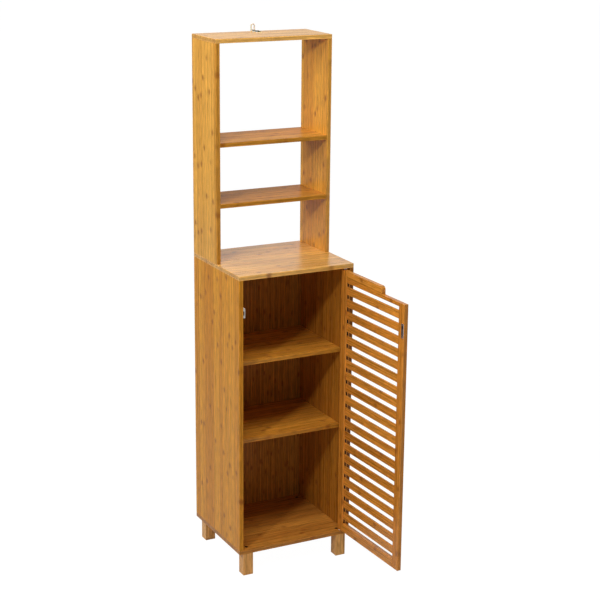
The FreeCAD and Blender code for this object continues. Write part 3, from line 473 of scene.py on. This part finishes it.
def finish_node(name, material):
    """Give a CAD node its material."""
    node = nodes[name]
    node.data.materials.clear()
    node.data.materials.append(material)


print("lacquer reflects", round(((LACQUER_IOR - 1) / (LACQUER_IOR + 1)) ** 2, 3), "of the light head on")

# %% [markdown]
# Bamboo that was steamed is caramel, and every panel comes out a little different. Beyond that, the tones
# hold painted light and shade: the tops and the rack's sides are painted paler, as more light and sheen fall
# on them, and the boards inside browner, as they lie in shade. Sides have upright strips, and tops and
# shelves have strips from side to side. The back is a thin board of narrow slivers.

# %% Finish the boards
# Paler and browner tones here also stand in for light and shade that fall on each board.
SIDE_TONES = ("dd982e", "c88123")
RACK_LEFT_TONES = ("f2b450", "c98a31")
RACK_RIGHT_TONES = ("eaaa3c", "d69232")
RIGHT_SIDE_TONES = ("c8842c", "a6661e")
TOP_TONES = ("f2b65a", "dc9e4a")
SHELF_TONES = ("da9736", "c07d29")
RACK_SHELF_TONES = ("d29236", "bb7b2b")
FLOOR_TONES = ("c88636", "ac6c28")
BACK_TONES = ("c68735", "aa6f29")
BOARD_MM, STRIP_MM = 12, 20
BACK_MM, SLIVER_MM = 5, 6

for names, directions, thickness_mm, strip_mm, shine, tones in (
    (("left_side_panel",), "ZYX", BOARD_MM, STRIP_MM, 0.1, SIDE_TONES),
    (("rack_left_panel",), "ZYX", BOARD_MM, STRIP_MM, 0.2, RACK_LEFT_TONES),
    (("right_side_panel",), "ZYX", BOARD_MM, STRIP_MM, 0.2, RIGHT_SIDE_TONES),
    (("rack_right_panel",), "ZYX", BOARD_MM, STRIP_MM, 0.75, RACK_RIGHT_TONES),
    (("cabinet_top_panel", "rack_top_panel"), "XYZ", BOARD_MM, STRIP_MM, 0.75, TOP_TONES),
    (("cabinet_bottom_panel",), "XYZ", BOARD_MM, STRIP_MM, 0.2, FLOOR_TONES),
    (("inner_shelf_upper", "inner_shelf_lower"), "XYZ", BOARD_MM, STRIP_MM, 0.2, SHELF_TONES),
    (("rack_shelf_upper", "rack_shelf_lower"), "XYZ", BOARD_MM, STRIP_MM, 0.03, RACK_SHELF_TONES),
    (("cabinet_back_panel",), "ZXY", BACK_MM, SLIVER_MM, 0.2, BACK_TONES),
):
    for name in names:
        low_corner, high_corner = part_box(name)
        board_bamboo = lacquered_bamboo(
            f"bamboo_{name}", directions, low_corner, thickness_mm, tones, strip_mm, shine,
        )
        finish_node(name, board_bamboo)
        width_axis = "XYZ".index(directions[1])
        strip_count = 1000 * (high_corner[width_axis] - low_corner[width_axis]) / strip_mm
        print(f"{name}: {strip_count:.1f} strips")

# %% [markdown]
# ## Legs
# The legs are solid and were sanded but lacquered thinly, so they look paler and duller than the boards.
# They have no plies. Below twice a ply's thickness the group never reaches a core, so a small number in
# place of the real thickness keeps the bands away.

# %% Finish the legs
LEG_TONES = ("e6ac64", "d59a54")
LEG_STRIP_MM = 10.0
NO_PLIES_MM = 4.0
for name in ("leg_front_left", "leg_front_right", "leg_rear_left", "leg_rear_right"):
    low_corner, high_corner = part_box(name)
    leg_bamboo = lacquered_bamboo(
        f"bamboo_{name}", "ZXY", low_corner, NO_PLIES_MM, LEG_TONES, LEG_STRIP_MM, shine=0.2,
    )
    finish_node(name, leg_bamboo)
print(f"the legs are {1000 * (high_corner[0] - low_corner[0]):.0f} mm square")

# %% [markdown]
# ## The door
# Stiles, rails and slats are narrow, so each shows one or two strips. Their bamboo is a warmer orange
# than the boards'. One material serves all the slats: the piece's own number moves the pattern, so no two
# slats are alike. The corners below are where the patterns start on the closed door: at its lower left,
# on its front and on the slats' front. The box of the grooves reaches from one stile's groove across to
# the other's, because only the stiles have this material.

# %% Finish the door
DOOR_TONES = ("e19338", "cb7e2a")
DOOR_SHINE = 0.3
DOOR_CORE = 0.92
DOOR_FRONT = Vector((-0.161, 0.001, 0.079))
SLAT_FRONT = Vector((-0.161, 0.005, 0.079))
STILE_STRIP_MM = 13.5
RAIL_STRIP_MM = 16.5
SLAT_PITCH_MM = 35.43
SLAT_MM = 4
STILE_GROOVES = ((2.0, 19.0, 4.0), (755.0, 303.0, 8.0))
stile_bamboo = lacquered_bamboo(
    "bamboo_stile", "ZXY", DOOR_FRONT, BOARD_MM, DOOR_TONES, STILE_STRIP_MM, DOOR_SHINE, DOOR_CORE,
    on_door=True, groove=STILE_GROOVES,
)
rail_bamboo = lacquered_bamboo(
    "bamboo_rail", "XZY", DOOR_FRONT, BOARD_MM, DOOR_TONES, RAIL_STRIP_MM, DOOR_SHINE, DOOR_CORE,
    on_door=True,
)
slat_bamboo = lacquered_bamboo(
    "bamboo_slat", "XZY", SLAT_FRONT, SLAT_MM, DOOR_TONES, SLAT_PITCH_MM, DOOR_SHINE, on_door=True,
)
for name in ("door_hinge_stile", "door_latch_stile"):
    finish_node(name, stile_bamboo)
for name in ("door_top_rail", "door_bottom_rail"):
    finish_node(name, rail_bamboo)
slats = [name for name in nodes if name.startswith("door_slat")]
for name in slats:
    finish_node(name, slat_bamboo)
print(f"{len(slats)} slats, one every {SLAT_PITCH_MM} mm")

# %% [markdown]
# ## Metal, plastic and dowels
# The small parts are rarely seen close up, but each still gets what its making leaves on it: the uneven
# shine of a plated screw, the cloudy dark of an oxide bath, the fine grain of a mould. One noise at the
# size of that grain moves the colour, the gloss and the relief together.

# %% Make a material for a fitting
GRAIN_DEPTH = 0.0002


def fitting_material(name, tones, grain_mm, roughness, bump, metallic=0.0, **shader_values):
    """A material with two close tones, mottled at grain_mm, that also shifts its gloss."""
    material = bpy.data.materials.new(name)
    material.use_nodes = True
    tree = material.node_tree
    shader = tree.nodes["Principled BSDF"]
    point = add_node(tree, "ShaderNodeTexCoord").outputs["Object"]
    mottle = add_node(
        tree, "ShaderNodeTexNoise",
        {"Vector": point, "Scale": 1000 / grain_mm, "Detail": 3.0, "Roughness": 0.6},
    ).outputs["Fac"]
    tone = add_node(
        tree, "ShaderNodeMix", {0: mottle, 6: colour(tones[0]), 7: colour(tones[1])}, data_type="RGBA",
    ).outputs[2]
    gloss = add_node(
        tree, "ShaderNodeMapRange",
        {0: mottle, "From Min": 0.3, "From Max": 0.7, "To Min": roughness[0], "To Max": roughness[1]},
    ).outputs[0]
    relief = add_node(
        tree, "ShaderNodeBump", {"Strength": bump, "Distance": GRAIN_DEPTH, "Height": mottle},
    ).outputs[0]
    tree.links.new(tone, shader.inputs["Base Color"])
    tree.links.new(gloss, shader.inputs["Roughness"])
    tree.links.new(relief, shader.inputs["Normal"])
    shader.inputs["Metallic"].default_value = metallic
    for socket, value in shader_values.items():
        shader.inputs[socket].default_value = value
    return material


# Zinc plating is a grey metal with a soft, slightly uneven shine.
zinc_steel = fitting_material("zinc_plated_steel", ("b9babb", "9fa1a4"), 1.5, (0.28, 0.42), 0.1, 1.0)
# Black oxide leaves steel nearly black, with a dull oily shine.
oxide_steel = fitting_material("black_oxide_steel", ("2c2a2a", "1d1c1d"), 2.0, (0.35, 0.5), 0.15, 1.0)
# Nickel plating on the small screws is bright.
nickel_steel = fitting_material("nickel_plated_steel", ("cfd4da", "b4bac2"), 1.2, (0.2, 0.3), 0.05, 1.0)
print("steels:", zinc_steel.name, oxide_steel.name, nickel_steel.name)

# %% Plastics, ferrite and beech
# Moulded ABS is opaque, with a fine spark-eroded grain.
white_abs = fitting_material("white_moulded_abs", ("eeeeeb", "e2e2de"), 0.5, (0.4, 0.5), 0.1, IOR=1.53)
# Nylon lets some light into its surface, so its shadows are soft and warm.
natural_nylon = fitting_material(
    "natural_moulded_nylon", ("ece2d0", "dfd2bb"), 0.8, (0.32, 0.45), 0.08, IOR=1.53,
    **{"Subsurface Weight": 0.25, "Subsurface Scale": 0.002},
)
# Pressed ferrite is a dull charcoal with visible grit.
ferrite = fitting_material("pressed_ferrite", ("2b2928", "3a3736"), 0.4, (0.65, 0.8), 0.3)
# Beech dowels are sawn and not lacquered, so they stay pale and dull.
sawn_beech = fitting_material("sawn_beech", ("d6b083", "c1966a"), 1.0, (0.6, 0.75), 0.2)
print("others:", white_abs.name, natural_nylon.name, ferrite.name, sawn_beech.name)

# %% [markdown]
# The strike plate is blackened too, and a bright rim is painted around it as the highlight of its edges. On
# the closed door the plate is a plain box. The greater of a point's two distances past its sides and ends
# is 0 at the rim and falls below 0 inside, so it says how near the rim a point is.

# %% Material of the strike plate
STRIKE_LOW = Vector((-0.1595, 0.013, 0.743))
STRIKE_HIGH = Vector((-0.149, 0.0142, 0.783))
RIM_WIDTH = 0.0032
PAINTED_RIM_HIGHLIGHT = colour("e6eef8")
strike_steel = fitting_material("black_oxide_steel_painted_rim_highlight", ("2c2e33", "1b1c20"), 2.0, (0.25, 0.4), 0.1, 1.0)
strike_tree = strike_steel.node_tree
strike_colour = strike_tree.nodes["Principled BSDF"].inputs["Base Color"]
dark_steel = strike_colour.links[0].from_socket
point = add_node(strike_tree, "ShaderNodeTexCoord").outputs["Object"]
point = on_closed_door(strike_tree, point)
past_side, _, past_end = past_box(strike_tree, point, STRIKE_LOW, STRIKE_HIGH)
to_rim = add_node(strike_tree, "ShaderNodeMath", {0: past_side, 1: past_end}, operation="MAXIMUM").outputs[0]
# A bright rim is painted here as the highlight of the plate's edges.
rim_highlight_mask = add_node(
    strike_tree, "ShaderNodeMapRange", {0: to_rim, "From Min": -RIM_WIDTH, "From Max": -0.6 * RIM_WIDTH},
).outputs[0]
with_rim_highlight = add_node(
    strike_tree, "ShaderNodeMix", {0: rim_highlight_mask, 6: dark_steel, 7: PAINTED_RIM_HIGHLIGHT}, data_type="RGBA",
).outputs[2]
strike_tree.links.new(with_rim_highlight, strike_colour)
print(f"the plate is {[round(1000 * side, 1) for side in STRIKE_HIGH - STRIKE_LOW]} mm")

# %% Finish the fittings
for names, material in (
    (("shelf_support_pins", "hinge_pin_top", "hinge_pin_bottom", "catch_pole_plates"), zinc_steel),
    (("leg_bolts", "side_panel_screws", "tie_plate"), oxide_steel),
    (("strike_plate",), strike_steel),
    (("strike_screws", "tie_screw", "catch_screws"), nickel_steel),
    (("catch_housing",), white_abs),
    (("hinge_bush_top", "hinge_bush_bottom", "tie_eyelet"), natural_nylon),
    (("catch_magnet",), ferrite),
    (("cabinet_top_dowels", "rack_base_dowels", "rack_dowels"), sawn_beech),
):
    for name in names:
        finish_node(name, material)
    print(f"{material.name}: {', '.join(names)}")

# %% [markdown]
# ## Floor, light and camera
# The floor is plain and pale. To the camera nine tenths of it glows white, which hides where it ends, and
# the rest is ordinary matt floor, which keeps the cabinet's shadow. In reflections it is dimmer, and only
# the pool of light around the cabinet shows, because a glossy side board would turn milky otherwise.

# %% Floor
FLOOR_HALF_SIZE = 30
floor_shape = bmesh.new()
bmesh.ops.create_grid(floor_shape, x_segments=1, y_segments=1, size=FLOOR_HALF_SIZE)
floor_mesh = bpy.data.meshes.new("floor")
floor_shape.to_mesh(floor_mesh)
floor_shape.free()
floor = bpy.data.objects.new("floor", floor_mesh)
bpy.context.collection.objects.link(floor)
print(f"floor of {2 * FLOOR_HALF_SIZE} m")

# %% Paint of the floor
POOL_EDGE_FROM, POOL_EDGE_TO = 4.2, 5.1
SEEN_IN_POOL, SEEN_BEYOND = 0.4, 0.05
GLOW_SHARE = 0.9
GLOW = 1.1
floor_paint = bpy.data.materials.new("matt_white_floor")
floor_paint.use_nodes = True
floor_tree = floor_paint.node_tree
floor_tree.nodes.clear()
light_path = add_node(floor_tree, "ShaderNodeLightPath").outputs
floor_point = add_node(floor_tree, "ShaderNodeTexCoord").outputs["Object"]
from_cabinet = add_node(
    floor_tree, "ShaderNodeVectorMath", {0: floor_point}, operation="LENGTH",
).outputs["Value"]
pool = add_node(floor_tree, "ShaderNodeMapRange", {
    0: from_cabinet, "From Min": POOL_EDGE_FROM, "From Max": POOL_EDGE_TO,
    "To Min": SEEN_IN_POOL, "To Max": SEEN_BEYOND,
}).outputs[0]
reflected = add_node(
    floor_tree, "ShaderNodeMath", {0: light_path["Is Glossy Ray"], 1: pool}, operation="MULTIPLY",
).outputs[0]
seen = add_node(
    floor_tree, "ShaderNodeMath", {0: light_path["Is Camera Ray"], 1: reflected}, operation="MAXIMUM",
).outputs[0]
seen = add_node(
    floor_tree, "ShaderNodeMath", {0: seen, 1: light_path["Is Transmission Ray"]}, operation="MAXIMUM",
).outputs[0]
glow_share = add_node(floor_tree, "ShaderNodeMath", {0: seen, 1: GLOW_SHARE}, operation="MULTIPLY").outputs[0]
matt = add_node(floor_tree, "ShaderNodeBsdfDiffuse", {"Color": colour("e8e8e6")}).outputs[0]
glow = add_node(floor_tree, "ShaderNodeEmission", {"Strength": GLOW}).outputs[0]
floor_mix = add_node(floor_tree, "ShaderNodeMixShader", {0: glow_share, 1: matt, 2: glow}).outputs[0]
add_node(floor_tree, "ShaderNodeOutputMaterial", {"Surface": floor_mix})
floor_mesh.materials.append(floor_paint)
print(f"the pool of light ends {POOL_EDGE_TO} m from the cabinet")

# %% [markdown]
# The world is the studio: a white wall behind the cabinet, which its tops mirror, and a dim room in front
# and near the ground. To the camera the world is white all round, and for everything else it is a weak and
# even light.

# %% World
FILL = 0.2
world = bpy.data.worlds.new("studio")
bpy.context.scene.world = world
world.use_nodes = True
world_tree = world.node_tree
world_tree.nodes.clear()
light_path = add_node(world_tree, "ShaderNodeLightPath").outputs
direction = add_node(world_tree, "ShaderNodeTexCoord").outputs["Generated"]
_, to_rear, to_above = add_node(world_tree, "ShaderNodeSeparateXYZ", {0: direction}).outputs
white_wall = add_node(
    world_tree, "ShaderNodeMapRange", {0: to_rear, "From Min": -0.3, "From Max": 0.4},
).outputs[0]
above_ground = add_node(
    world_tree, "ShaderNodeMapRange", {0: to_above, "From Min": 0.06, "From Max": 0.22},
).outputs[0]
reflected = add_node(
    world_tree, "ShaderNodeMath", {0: light_path["Is Glossy Ray"], 1: white_wall}, operation="MULTIPLY",
).outputs[0]
reflected = add_node(
    world_tree, "ShaderNodeMath", {0: reflected, 1: above_ground}, operation="MULTIPLY",
).outputs[0]
seen = add_node(
    world_tree, "ShaderNodeMath", {0: light_path["Is Camera Ray"], 1: reflected}, operation="MAXIMUM",
).outputs[0]
seen = add_node(
    world_tree, "ShaderNodeMath", {0: seen, 1: light_path["Is Transmission Ray"]}, operation="MAXIMUM",
).outputs[0]
strength = add_node(world_tree, "ShaderNodeMapRange", {0: seen, "To Min": FILL, "To Max": 1.0}).outputs[0]
backdrop = add_node(world_tree, "ShaderNodeBackground", {"Color": colour("ffffff"), "Strength": strength})
add_node(world_tree, "ShaderNodeOutputWorld", {"Surface": backdrop.outputs[0]})
print(f"the world lights the cabinet with {FILL} of its white")

# %% [markdown]
# Three lamps light the cabinet. The main one stands in front of it on the left, above head height: the
# shadows under the rack's shelves and in the bays run back to it, and their crisp edges say that it is
# small. Two large ones, at the rear left and overhead, only soften those shadows. They are kept out of
# reflections, where they would turn the tops white from some sides.

# %% Lamps
def add_lamp(name, place, target, size, watts, in_reflections=True):
    """Add a round area lamp of this diameter that points at target."""
    data = bpy.data.lights.new(name, "AREA")
    data.shape = "DISK"
    data.size = size
    data.energy = watts
    lamp = bpy.data.objects.new(name, data)
    lamp.location = place
    lamp.rotation_euler = (Vector(target) - lamp.location).to_track_quat("-Z", "Y").to_euler()
    lamp.visible_glossy = in_reflections
    bpy.context.collection.objects.link(lamp)
    print(f"{name}: {watts} W, {(Vector(target) - lamp.location).length:.1f} m from its target")


add_lamp("front_left", (-1.93, -1.30, 2.13), (0, 0.1, 0.85), size=0.22, watts=20)
add_lamp("rear_left", (-1.45, 1.15, 2.0), (0, 0.2, 1.1), size=1.2, watts=17, in_reflections=False)
add_lamp("overhead", (-0.5, -0.9, 3.1), (0, 0.1, 0.9), size=1.2, watts=36, in_reflections=False)

# %% [markdown]
# The camera's place and turn were worked out from the photograph's own edges, so that the same corners
# fall on the same pixels. Its axes are built from three angles: it looks to the right of straight ahead,
# down, and is tipped by half a degree. The lens follows from the focal length in pixels and the width of
# the photograph, with no shift.

# %% Camera
PHOTO_WIDTH_PX = 600
FOCAL_LENGTH_PX = 1523.17
CAMERA_AT = Vector((-1.83189, -3.5669, 1.91831))
YAW_DEG, PITCH_DEG, ROLL_DEG = 27.29, -15.71, 0.54
yaw, pitch, roll = (math.radians(angle) for angle in (YAW_DEG, PITCH_DEG, ROLL_DEG))
ahead = Vector((math.sin(yaw) * math.cos(pitch), math.cos(yaw) * math.cos(pitch), math.sin(pitch)))
level_right = Vector((math.cos(yaw), -math.sin(yaw), 0))
level_up = level_right.cross(ahead)
right = math.cos(roll) * level_right + math.sin(roll) * level_up
up = math.cos(roll) * level_up - math.sin(roll) * level_right

camera_data = bpy.data.cameras.new("camera")
camera_data.sensor_width = 36
camera_data.lens = FOCAL_LENGTH_PX / PHOTO_WIDTH_PX * camera_data.sensor_width
camera = bpy.data.objects.new("camera", camera_data)
bpy.context.collection.objects.link(camera)
turned = Matrix((right, up, -ahead)).transposed().to_4x4()
camera.matrix_world = Matrix.Translation(CAMERA_AT) @ turned
bpy.context.scene.camera = camera
bpy.context.scene.view_settings.view_transform = "Standard"
print(f"lens {camera_data.lens:.2f} mm, {CAMERA_AT.length:.2f} m from the floor in front of the door")
